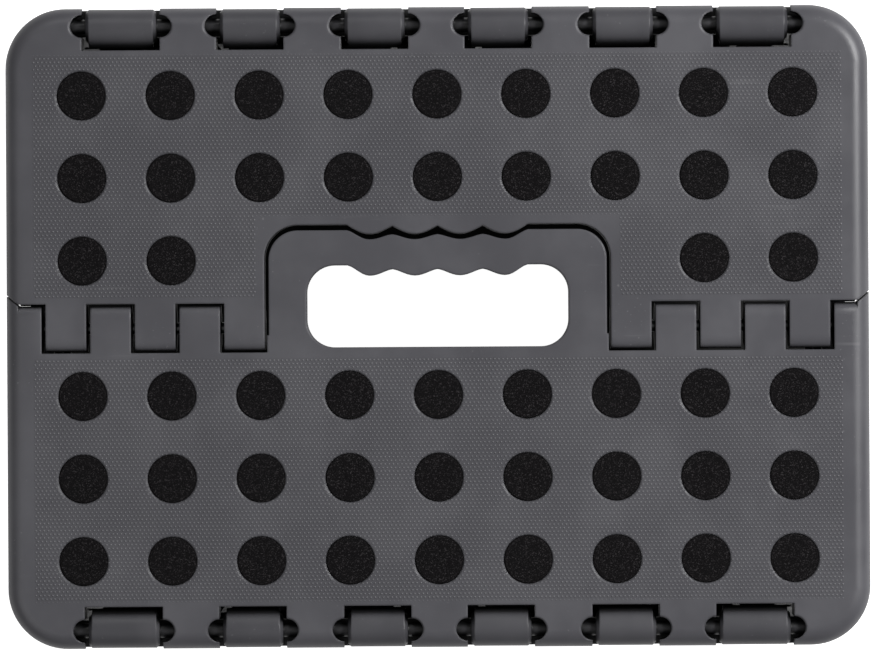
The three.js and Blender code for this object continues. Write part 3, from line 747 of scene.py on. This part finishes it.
def folding_knuckles(is_rear, radius, grow):
    parts = []
    for index in range(0 if is_rear else 1, FOLDING_KNUCKLES, 2):
        low = KNUCKLE_BASE + index * KNUCKLE_STEP
        ends = (low - grow, low + KNUCKLE_STEP - RUNNING_GAP + grow)
        parts.append(bar_z(radius, ends, FOLDING_HINGE_X, 0, ROUND_SIDES))
    return parts


def end_pockets():
    x = (END_INNER - PAST, END_OUTER - END_SKIN)
    low, high = END_ARCH_HEIGHT + 2 * OUTER_WALL, END_TOP - 2 * OUTER_WALL
    middle = (low + high) / 2
    start = FOLDING_KNUCKLE_RADIUS + RUNNING_GAP + OUTER_WALL
    end = END_REACH - 3 * CORNER_KNUCKLE_RADIUS
    pitch = (end - start + RIB_WALL) / END_COLUMNS
    parts = []
    for column in range(END_COLUMNS):
        y = (start + column * pitch, start + (column + 1) * pitch - RIB_WALL)
        parts.append(block(x, y, (low, middle - RIB_WALL / 2)))
        parts.append(block(x, y, (middle + RIB_WALL / 2, high)))
    foot = block(x, (END_ARCH_HALF + OUTER_WALL, end), (END_BOTTOM + 2 * OUTER_WALL, END_ARCH_HEIGHT))
    return parts + [foot]


def end_panel(is_rear):
    outline = arch(END_ARCH_HALF, END_ARCH_HALF_TOP, END_ARCH_HEIGHT, END_ARCH_CORNER)
    bores = [
        bar_z(FOLDING_PIN_RADIUS + RUNNING_GAP, (0, HEIGHT), FOLDING_HINGE_X, 0),
        bar_z(CORNER_PIN_RADIUS + RUNNING_GAP, (0, HEIGHT), CORNER_HINGE.x, OUTER_HINGE.y),
    ]
    made = cut(
        solid([block((END_INNER, END_OUTER), (RUNNING_GAP, END_REACH), (END_BOTTOM, END_TOP))]),
        [prism(outline, END_INNER - OUTER_WALL, END_OUTER + OUTER_WALL, "x")],
        end_pockets(),
    )
    join(made, [corner_arm(z) for z in ARM_PLACES])
    cut(made, folding_knuckles(not is_rear, FOLDING_KNUCKLE_RADIUS + RUNNING_GAP, RUNNING_GAP))
    join(made, folding_knuckles(is_rear, FOLDING_KNUCKLE_RADIUS, 0))
    return cut(made, bores)


# ---- Pins ---------------------------------------------------------------------------------------


def pin_profile(radius, low, high):
    """A half profile with rounded ends. It stops short of the axis, so no two points fall together."""
    return [
        (NEAR_AXIS, low),
        (radius - PIN_END_ROUND, low),
        (radius, low + PIN_END_ROUND),
        (radius, high - PIN_END_ROUND),
        (radius - PIN_END_ROUND, high),
        (NEAR_AXIS, high),
    ]


def centre_pin():
    ends = (HANDLE_HALF_WIDTH + HANDLE_SIDE_GAP + 1, KNUCKLE_END - 1)
    return solid([turned_x(pin_profile(HINGE_PIN_RADIUS, *ends), 0, 0, CENTRE_HINGE.z)])


def upright_pin(radius, ends, x, y):
    points, faces = turned_x(pin_profile(radius, *ends), 0, 0, 0)
    return solid([([(x + p[1], y + p[2], p[0]) for p in points], faces)])


# ---- Grip discs with their grit -----------------------------------------------------------------


def gritty_disc(x, y, dice):
    """A disc whose top is a fine uneven grid of rings, closed below, on its stem."""
    top, low = HEIGHT - DISC_SINK, HEIGHT - DISC_RECESS + RUNNING_GAP
    turns = [2 * math.pi * i / GRIT_SIDES for i in range(GRIT_SIDES)]
    rings = [[(x + NEAR_AXIS * math.cos(a), y + NEAR_AXIS * math.sin(a), top) for a in turns]]
    for ring in range(1, GRIT_RINGS + 1):
        radius = (DISC_RADIUS - DISC_EDGE) * ring / GRIT_RINGS
        jitter = 0.0 if ring == GRIT_RINGS else GRIT_JITTER
        points = []
        for i in range(GRIT_SIDES):
            angle = 2 * math.pi * (i + dice.uniform(-jitter, jitter)) / GRIT_SIDES
            reach = radius + dice.uniform(-jitter, jitter)
            height = top - dice.uniform(0, GRIT_DEPTH)
            points.append((x + reach * math.cos(angle), y + reach * math.sin(angle), height))
        rings.append(points)
    side = ((DISC_RADIUS, top - DISC_EDGE), (DISC_RADIUS, low))
    stem = ((STEM_RADIUS, low), (STEM_RADIUS, RUNNER_TOP))
    for radius, z in side + stem:
        rings.append([(u, v, z) for u, v in arc(x, y, radius, 0, 360, GRIT_SIDES)[:-1]])
    return lofted(rings)


def grip_row(y, places, dice):
    runner = block(
        (places[0] - STEM_RADIUS, places[-1] + STEM_RADIUS),
        (y - RUNNER_WIDTH / 2, y + RUNNER_WIDTH / 2),
        (RUNNER_TOP - RUNNER_THICKNESS, RUNNER_TOP - RUNNER_SINK),
    )
    return solid([gritty_disc(x, y, dice) for x in places] + [runner])


# ---- Materials ----------------------------------------------------------------------------------


class Look:
    """A material under construction: short calls that add nodes and return their outputs."""

    def __init__(self, name, roughness, metallic=0.0, specular=0.5):
        self.material = bpy.data.materials.new(name)
        self.material.use_nodes = True
        self.tree = self.material.node_tree
        self.shader = self.tree.nodes["Principled BSDF"]
        self.shader.inputs["Metallic"].default_value = metallic
        self.shader.inputs["Roughness"].default_value = roughness
        self.shader.inputs["Specular IOR Level"].default_value = specular
        self.place = self.add("ShaderNodeTexCoord").outputs["Object"]

    def add(self, kind, settings=None, **inputs):
        node = self.tree.nodes.new(kind)
        for key, value in (settings or {}).items():
            setattr(node, key, value)
        for key, value in inputs.items():
            self.feed(node.inputs[key.replace("_", " ")], value)
        return node

    def feed(self, socket, value):
        if isinstance(value, bpy.types.NodeSocket):
            self.tree.links.new(value, socket)
        else:
            socket.default_value = value

    def math(self, operation, *values):
        node = self.add("ShaderNodeMath", {"operation": operation})
        for socket, value in zip(node.inputs, values):
            self.feed(socket, value)
        return node.outputs[0]

    def smooth_step(self, value, low, high):
        """0 at low, 1 at high, and smooth between; low may be above high."""
        node = self.add("ShaderNodeMapRange", {"interpolation_type": "SMOOTHSTEP"})
        for socket, number in zip(node.inputs, (value, low, high, 0.0, 1.0)):
            self.feed(socket, number)
        return node.outputs[0]

    def scaled_place(self, scale):
        node = self.add("ShaderNodeVectorMath", {"operation": "MULTIPLY"})
        self.feed(node.inputs[0], self.place)
        self.feed(node.inputs[1], scale)
        return node.outputs[0]

    def noise(self, scale, detail=2.0, roughness=0.5, stretch=(1.0, 1.0, 1.0)):
        place = self.scaled_place(stretch)
        node = self.add("ShaderNodeTexNoise", Vector=place, Scale=scale, Detail=detail, Roughness=roughness)
        return node.outputs["Fac"]

    def mix(self, factor, a, b):
        node = self.add("ShaderNodeMix", {"data_type": "RGBA"})
        for socket, value in ((node.inputs[0], factor), (node.inputs[6], a), (node.inputs[7], b)):
            self.feed(socket, value)
        return node.outputs[2]

    def bump(self, height, distance, strength=1.0, normal=None):
        node = self.add("ShaderNodeBump", Height=height, Distance=distance, Strength=strength)
        if normal is not None:
            self.feed(node.inputs["Normal"], normal)
        return node.outputs["Normal"]

    def soft_edges(self, radius):
        """Normals rounded over the edges."""
        return self.add("ShaderNodeBevel", {"samples": 4}, Radius=radius).outputs["Normal"]

    def crevice_shade_mask(self, reach):
        """A mask for painted shade: 1 in the open and near 0 deep in gaps and slots."""
        node = self.add("ShaderNodeAmbientOcclusion", {"samples": 4}, Distance=reach)
        return self.smooth_step(node.outputs["AO"], 0.4, 0.92)

    def finish(self, color, roughness=None, normal=None):
        self.feed(self.shader.inputs["Base Color"], color)
        if roughness is not None:
            self.feed(self.shader.inputs["Roughness"], roughness)
        if normal is not None:
            self.feed(self.shader.inputs["Normal"], normal)
        return self.material


GREY = (0.078, 0.077, 0.087, 1)
GREY_LIGHT = (0.098, 0.097, 0.108, 1)
GREY_DARK = (0.066, 0.065, 0.073, 1)
# Light scuffs, specks and hair scratches, and also the painted highlight on the dots' crowns.
GREY_SCUFF_AND_HIGHLIGHT = (0.2, 0.2, 0.21, 1)
# The colour of the painted shade deep in gaps and slots.
CREVICE_SHADE = (0.006, 0.006, 0.0065, 1)
BLACK = (0.004, 0.0035, 0.004, 1)
BLACK_GRAIN = (0.06, 0.055, 0.058, 1)
RUBBER = (0.012, 0.012, 0.013, 1)
RUBBER_DUST = (0.05, 0.048, 0.045, 1)
STEEL = (0.5, 0.51, 0.53, 1)
STEEL_DARK = (0.38, 0.385, 0.4, 1)
WHITE = (0.85, 0.85, 0.85, 1)
# The painted shadow's colour on the floor.
SHADED = (0.02, 0.02, 0.02, 1)

CREVICE_REACH = 0.008  # m, over which the painted crevice shade reaches
TOP_EDGE_SOFTNESS = 0.0011  # m
BODY_EDGE_SOFTNESS = 0.0008  # m

DOT_PITCH = 1.42
DOT_RADIUS = 0.44
TEXTURE_SIDE_MARGIN = 9.5
TEXTURE_NEAR = 10.4
TEXTURE_FAR = 93.3
TEXTURE_RECESS_MARGIN = 3.2


def dot_height(look):
    """Fine raised dots in a hexagonal grid: 1 on a dot's crown, 0 between dots."""
    x, y, _ = look.add("ShaderNodeSeparateXYZ", Vector=look.place).outputs
    step_x, step_y = DOT_PITCH * MM, DOT_PITCH * math.sqrt(3) * MM
    squares = []
    for shift in (0.0, 0.5):
        across = []
        for value, step in ((x, step_x), (y, step_y)):
            cell = look.math("FRACT", look.math("ADD", look.math("DIVIDE", value, step), shift))
            off = look.math("MULTIPLY", look.math("SUBTRACT", cell, 0.5), step)
            across.append(look.math("MULTIPLY", off, off))
        squares.append(look.math("ADD", *across))
    nearest = look.math("SQRT", look.math("MINIMUM", *squares))
    return look.smooth_step(nearest, DOT_RADIUS * MM, DOT_RADIUS * MM * 0.25)


def dot_field(look):
    """1 where the top carries its dots, 0 on its smooth margins, handle and fingers."""
    x, y, z = look.add("ShaderNodeSeparateXYZ", Vector=look.place).outputs
    across, along = look.math("ABSOLUTE", x), look.math("ABSOLUTE", y)
    soft = 0.4 * MM

    def within(value, limit):
        return look.smooth_step(value, limit * MM + soft, limit * MM - soft)

    sides = within(across, LENGTH / 2 - TEXTURE_SIDE_MARGIN)
    far_side = within(along, TEXTURE_FAR)
    near_side = look.math("SUBTRACT", 1.0, within(along, TEXTURE_NEAR))
    recess_x = within(across, HANDLE_HALF_WIDTH + HANDLE_SIDE_GAP + TEXTURE_RECESS_MARGIN)
    recess_y = within(y, HANDLE_REACH + HANDLE_END_GAP + TEXTURE_RECESS_MARGIN)
    behind = look.smooth_step(y, -soft, soft)
    recess = look.math("MULTIPLY", look.math("MULTIPLY", recess_x, recess_y), behind)
    field = look.math("MULTIPLY", look.math("MULTIPLY", sides, far_side), near_side)
    field = look.math("MULTIPLY", field, look.math("SUBTRACT", 1.0, recess))
    on_top = look.smooth_step(z, (HEIGHT - 0.6) * MM, (HEIGHT - 0.3) * MM)
    return look.math("MULTIPLY", field, on_top)


def grey_plastic(name, with_dots, shade=1.0):
    """Satin moulded plastic: faint flow marks, rubbed patches, specks and hair scratches; painted shade in
    its gaps and slots and painted highlights on its dots.
    """
    look = Look(name, 0.45)
    clouds = look.smooth_step(look.noise(28, 4, 0.6), 0.35, 0.7)
    flow = look.smooth_step(look.noise(12, 3, 0.5, (5.0, 1.0, 1.0)), 0.4, 0.75)
    color = look.mix(clouds, GREY, GREY_LIGHT)
    color = look.mix(look.math("MULTIPLY", flow, 0.35), color, GREY_DARK)
    specks = look.smooth_step(look.noise(900, 1, 0.4), 0.7, 0.77)
    patches = look.smooth_step(look.noise(40, 2, 0.5), 0.5, 0.7)
    color = look.mix(look.math("MULTIPLY", look.math("MULTIPLY", specks, patches), 0.5), color, GREY_SCUFF_AND_HIGHLIGHT)
    hairs = look.smooth_step(look.noise(260, 2, 0.6, (0.07, 1.0, 1.0)), 0.66, 0.74)
    worn = look.math("MULTIPLY", hairs, patches)
    color = look.mix(look.math("MULTIPLY", worn, 0.25), color, GREY_SCUFF_AND_HIGHLIGHT)
    rough = look.add("ShaderNodeMapRange")
    for socket, value in zip(rough.inputs, (clouds, 0.0, 1.0, 0.36, 0.46)):
        look.feed(socket, value)
    # Painted shade: below a shade of 1 the colour is darkened towards black all over, a shaded copy of the
    # top's plastic.
    color = look.mix(1 - shade, color, (0, 0, 0, 1))
    # Painted shade: the colour goes near black deep in gaps, slots and scoops.
    color = look.mix(look.crevice_shade_mask(CREVICE_REACH), CREVICE_SHADE, color)
    edges = look.soft_edges(TOP_EDGE_SOFTNESS if with_dots else BODY_EDGE_SOFTNESS)
    grain = look.bump(look.noise(2600, 2, 0.6), 0.00003, 0.5, edges)
    waviness = look.bump(look.noise(55, 2, 0.5), 0.0003, 0.35, grain)
    normal = waviness
    if with_dots:
        field = dot_field(look)
        dots = look.math("MULTIPLY", dot_height(look), field)
        color = look.mix(look.math("MULTIPLY", field, 0.35), color, GREY_DARK)
        # Painted highlight: the dots' crowns are painted lighter, as if catching the light.
        painted_dot_highlight = look.math("MULTIPLY", dots, look.math("ADD", 0.1, look.math("MULTIPLY", clouds, 0.24)))
        color = look.mix(painted_dot_highlight, color, GREY_SCUFF_AND_HIGHLIGHT)
        normal = look.bump(dots, 0.00015, 1.0, waviness)
    return look.finish(color, rough.outputs[0], normal)


def black_grit():
    look = Look("black_grit", 0.95, specular=0.15)
    grains = look.smooth_step(look.noise(2300, 3, 0.7), 0.54, 0.7)
    color = look.mix(grains, BLACK, BLACK_GRAIN)
    normal = look.bump(look.noise(1900, 3, 0.8), 0.00035, 0.9)
    return look.finish(color, normal=normal)


def black_rubber():
    look = Look("black_rubber", 0.8, specular=0.35)
    dust = look.smooth_step(look.noise(120, 4, 0.6), 0.5, 0.8)
    color = look.mix(look.math("MULTIPLY", dust, 0.5), RUBBER, RUBBER_DUST)
    return look.finish(color, normal=look.bump(look.noise(1400, 2, 0.6), 0.00008, 0.6))


def pin_steel():
    look = Look("pin_steel", 0.3, metallic=1.0)
    drawn = look.noise(900, 2, 0.6, (0.05, 1.0, 1.0))
    color = look.mix(look.smooth_step(drawn, 0.3, 0.7), STEEL, STEEL_DARK)
    return look.finish(color, normal=look.bump(drawn, 0.00004, 0.4))


CAMERA_DISTANCE = 2.6  # m, from the top surface
SPREAD = 1 + HEIGHT * MM / CAMERA_DISTANCE  # of what the camera sees on the floor through a hole in the top
POOL_MARGIN = 6.0  # of the painted pool of light past what shows through the grip hole
POOL_SOFT = 2.0
SHADE_HALF = (112.0, 76.0)  # of the painted shadow's middle line, across and along
SHADE_SOFT = 24.0
JOINT_SHADE = 11.0  # half the width of the painted shadow strip under the finger joint
JOINT_SHADE_PAST = 3.0  # of the strip past the end panels
JOINT_SHADE_SOFT = 1.0
SHADOW_REACH = 0.32  # m, over which the stool closes the floor in
CLOSED, OPEN = 0.42, 0.62  # the share of the sky above a shaded and an open spot
JOINT_OPEN = (0.74, 0.62)  # the same for the strip, the open end first
FLOOR_LIGHT = 0.2  # what the floor gives the stool, of what the camera sees


def white_floor():
    """White paper that glows, with a painted shadow where the stool stands over it and a painted pool of
    light under the grip hole.
    """
    look = Look("white_floor", 0.9, specular=0.1)
    x, y, _ = look.add("ShaderNodeSeparateXYZ", Vector=look.place).outputs

    def window(half_x, near, far, soft):
        sides = look.smooth_step(look.math("ABSOLUTE", x), (half_x + soft) * MM, (half_x - soft) * MM)
        low = look.smooth_step(y, (near - soft) * MM, (near + soft) * MM)
        high = look.smooth_step(y, (far + soft) * MM, (far - soft) * MM)
        return look.math("MULTIPLY", sides, look.math("MULTIPLY", low, high))

    # Painted shadow: the floor is dark where the stool closes it in, and along the strip under the joint.
    openness = look.add("ShaderNodeAmbientOcclusion", {"samples": 32}, Distance=SHADOW_REACH).outputs["AO"]
    middle = window(SHADE_HALF[0], -SHADE_HALF[1], SHADE_HALF[1], SHADE_SOFT)
    shade = look.math("MULTIPLY", middle, look.smooth_step(openness, OPEN, CLOSED))
    strip = window(END_OUTER + JOINT_SHADE_PAST, -JOINT_SHADE, JOINT_SHADE, JOINT_SHADE_SOFT)
    shade = look.math("MAXIMUM", shade, look.math("MULTIPLY", strip, look.smooth_step(openness, *JOINT_OPEN)))
    # Painted pool of light under the grip hole, where the floor stays bright.
    side = GRIP_HALF_WIDTH * SPREAD + POOL_MARGIN
    pool = window(side, GRIP_NEAR * SPREAD - POOL_MARGIN, GRIP_FAR * SPREAD + POOL_MARGIN, POOL_SOFT)
    lit = look.math("MAXIMUM", look.math("SUBTRACT", 1.0, shade), pool)
    # The floor glows though it is no lamp: painted light, full strength to the camera and FLOOR_LIGHT of it
    # on the stool.
    seen = look.add("ShaderNodeLightPath").outputs["Is Camera Ray"]
    share = look.math("ADD", FLOOR_LIGHT, look.math("MULTIPLY", 1 - FLOOR_LIGHT, seen))
    look.shader.inputs["Emission Color"].default_value = (1, 1, 1, 1)
    look.feed(look.shader.inputs["Emission Strength"], look.math("MULTIPLY", lit, share))
    return look.finish(look.mix(lit, SHADED, WHITE))


# ---- Placing the pieces -------------------------------------------------------------------------

EDGE_ROUND = 0.00042  # m, on every moulded edge
FLAT = math.radians(0.4)  # faces nearer than this to one plane are one face
SHARP = math.radians(38)


def finished_piece(
    made, name, body, slot, material, nodes, edge_round=EDGE_ROUND, flip_x=False, flip_y=False
):
    """Scales a solid to metres, mirrors it where asked, rounds its edges and hands it to its body."""
    shape = bmesh.new()
    shape.from_mesh(made.data)
    bmesh.ops.remove_doubles(shape, verts=shape.verts, dist=0.002)
    bmesh.ops.dissolve_limit(shape, angle_limit=FLAT, verts=shape.verts, edges=shape.edges)
    size = (-MM if flip_x else MM, -MM if flip_y else MM, MM)
    bmesh.ops.transform(shape, matrix=Matrix.Diagonal((*size, 1)), verts=shape.verts)
    bmesh.ops.recalc_face_normals(shape, faces=shape.faces)
    for face in shape.faces:
        face.smooth = True
    shape.to_mesh(made.data)
    shape.free()
    made.data.set_sharp_from_angle(angle=SHARP)
    if edge_round:
        rounds = made.modifiers.new("edge_rounds", "BEVEL")
        rounds.width, rounds.segments = edge_round, 2
        rounds.limit_method, rounds.angle_limit = "ANGLE", SHARP
        rounds.miter_outer = "MITER_ARC"
        normals = made.modifiers.new("flat_faces", "WEIGHTED_NORMAL")
        normals.keep_sharp = False
    made.name = name
    made.data.name = name
    made.data.materials.clear()
    made.data.materials.append(material)
    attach(made, body)
    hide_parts(*nodes)
    return made


TOP_PLASTIC = grey_plastic("grey_plastic_top", True)
# The body's plastic is the top's plastic under painted shade.
BODY_PLASTIC = grey_plastic("grey_plastic_body", False, shade=0.79)
GRIT = black_grit()
BLACK_RUBBER = black_rubber()
PIN_STEEL = pin_steel()
DICE = random.Random(7)

finished_piece(rear_top(), "rear_top", "rear_top", "top_plastic", TOP_PLASTIC, ["rear_top_panel"])
finished_piece(
    front_top(), "front_top", "front_top", "top_plastic", TOP_PLASTIC, ["front_top_panel", "front_handle"]
)
for half in ("rear", "front"):
    is_rear = half == "rear"
    leg_body = f"{half}_leg"
    flip = {"flip_y": not is_rear}
    finished_piece(leg(), leg_body, leg_body, "leg_plastic", BODY_PLASTIC, [f"{half}_leg_panel"], **flip)
    for ending, y, places in disc_rows(is_rear):
        name = f"{half}_grip_row_{ending}"
        row = grip_row(y, places, DICE)
        finished_piece(
            row, f"{name}_discs", f"{half}_top", "grip_rubber", GRIT, [name], edge_round=0, **flip
        )
    for side in ("right", "left"):
        corner = f"{half}_{side}"
        turned = {"flip_y": not is_rear, "flip_x": side == "left"}
        end = f"{corner}_end"
        finished_piece(end_panel(is_rear), end, end, "end_plastic", BODY_PLASTIC, [f"{end}_panel"], **turned)
        foot = f"{corner}_foot"
        finished_piece(
            foot_pad(), foot, leg_body, "foot_rubber", BLACK_RUBBER, [f"{foot}_pad"], **turned
        )
        pin = upright_pin(CORNER_PIN_RADIUS, CORNER_PIN_ENDS, CORNER_HINGE.x, OUTER_HINGE.y)
        node = f"{corner}_corner_pin"
        finished_piece(
            pin, f"{corner}_corner_rod", leg_body, "pin_steel", PIN_STEEL, [node], edge_round=0, **turned
        )
for side in ("right", "left"):
    turned = {"flip_x": side == "left"}
    node = f"{side}_centre_hinge_pin"
    finished_piece(
        centre_pin(), f"{side}_centre_rod", "rear_top", "pin_steel", PIN_STEEL, [node], edge_round=0, **turned
    )
    pin = upright_pin(FOLDING_PIN_RADIUS, (KNUCKLE_BASE, END_TOP - 1), FOLDING_HINGE_X, 0)
    node = f"{side}_end_hinge_pin"
    finished_piece(
        pin, f"{side}_end_rod", f"rear_{side}_end", "pin_steel", PIN_STEEL, [node], edge_round=0, **turned
    )

# ---- Floor, light and camera --------------------------------------------------------------------

scene = bpy.context.scene
scene.view_settings.view_transform = "Standard"

FLOOR_HALF = 6.0  # m
FLOOR_GAP = 0.0002  # m, under the foot pads
SKY_LIGHT = 0.21

floor_mesh = bpy.data.meshes.new("floor")
far = FLOOR_HALF
floor_mesh.from_pydata([(-far, -far, 0), (far, -far, 0), (far, far, 0), (-far, far, 0)], [], [(0, 1, 2, 3)])
floor = bpy.data.objects.new("floor", floor_mesh)
floor.location.z = -FLOOR_GAP
scene.collection.objects.link(floor)
floor_mesh.materials.append(white_floor())

world = bpy.data.worlds.new("studio")
world.use_nodes = True
sky = world.node_tree.nodes["Background"].inputs
sky["Color"].default_value = (1.0, 1.0, 1.0, 1)
sky["Strength"].default_value = SKY_LIGHT
scene.world = world


def soft_light(name, place, size, power, target=(0, 0, 0.2)):
    data = bpy.data.lights.new(name, "AREA")
    data.size, data.energy = size, power
    lamp = bpy.data.objects.new(name, data)
    lamp.location = place
    lamp.rotation_mode = "QUATERNION"
    lamp.rotation_quaternion = (Vector(place) - Vector(target)).to_track_quat("Z", "Y")
    lamp.visible_camera = False
    scene.collection.objects.link(lamp)


soft_light("key", (0.92, 0.38, 1.12), 0.45, 16.8)
soft_light("rear", (-0.3, 1.1, 1.4), 0.45, 1.6)
soft_light("fill", (-0.9, -0.5, 1.5), 1.2, 3.5)

SHOWN_WIDTH = 0.298  # m, of the picture, at the top surface
TURN = math.radians(-0.33)
AIM = (-0.0005, 0.00015)  # m, the spot under the camera

lens = bpy.data.cameras.new("camera")
lens.sensor_width = 36
lens.lens = lens.sensor_width / SHOWN_WIDTH * CAMERA_DISTANCE
lens.clip_end = 20
camera = bpy.data.objects.new("camera", lens)
camera.location = (*AIM, HEIGHT * MM + CAMERA_DISTANCE)
camera.rotation_euler = (0, 0, TURN)
scene.collection.objects.link(camera)
scene.camera = camera
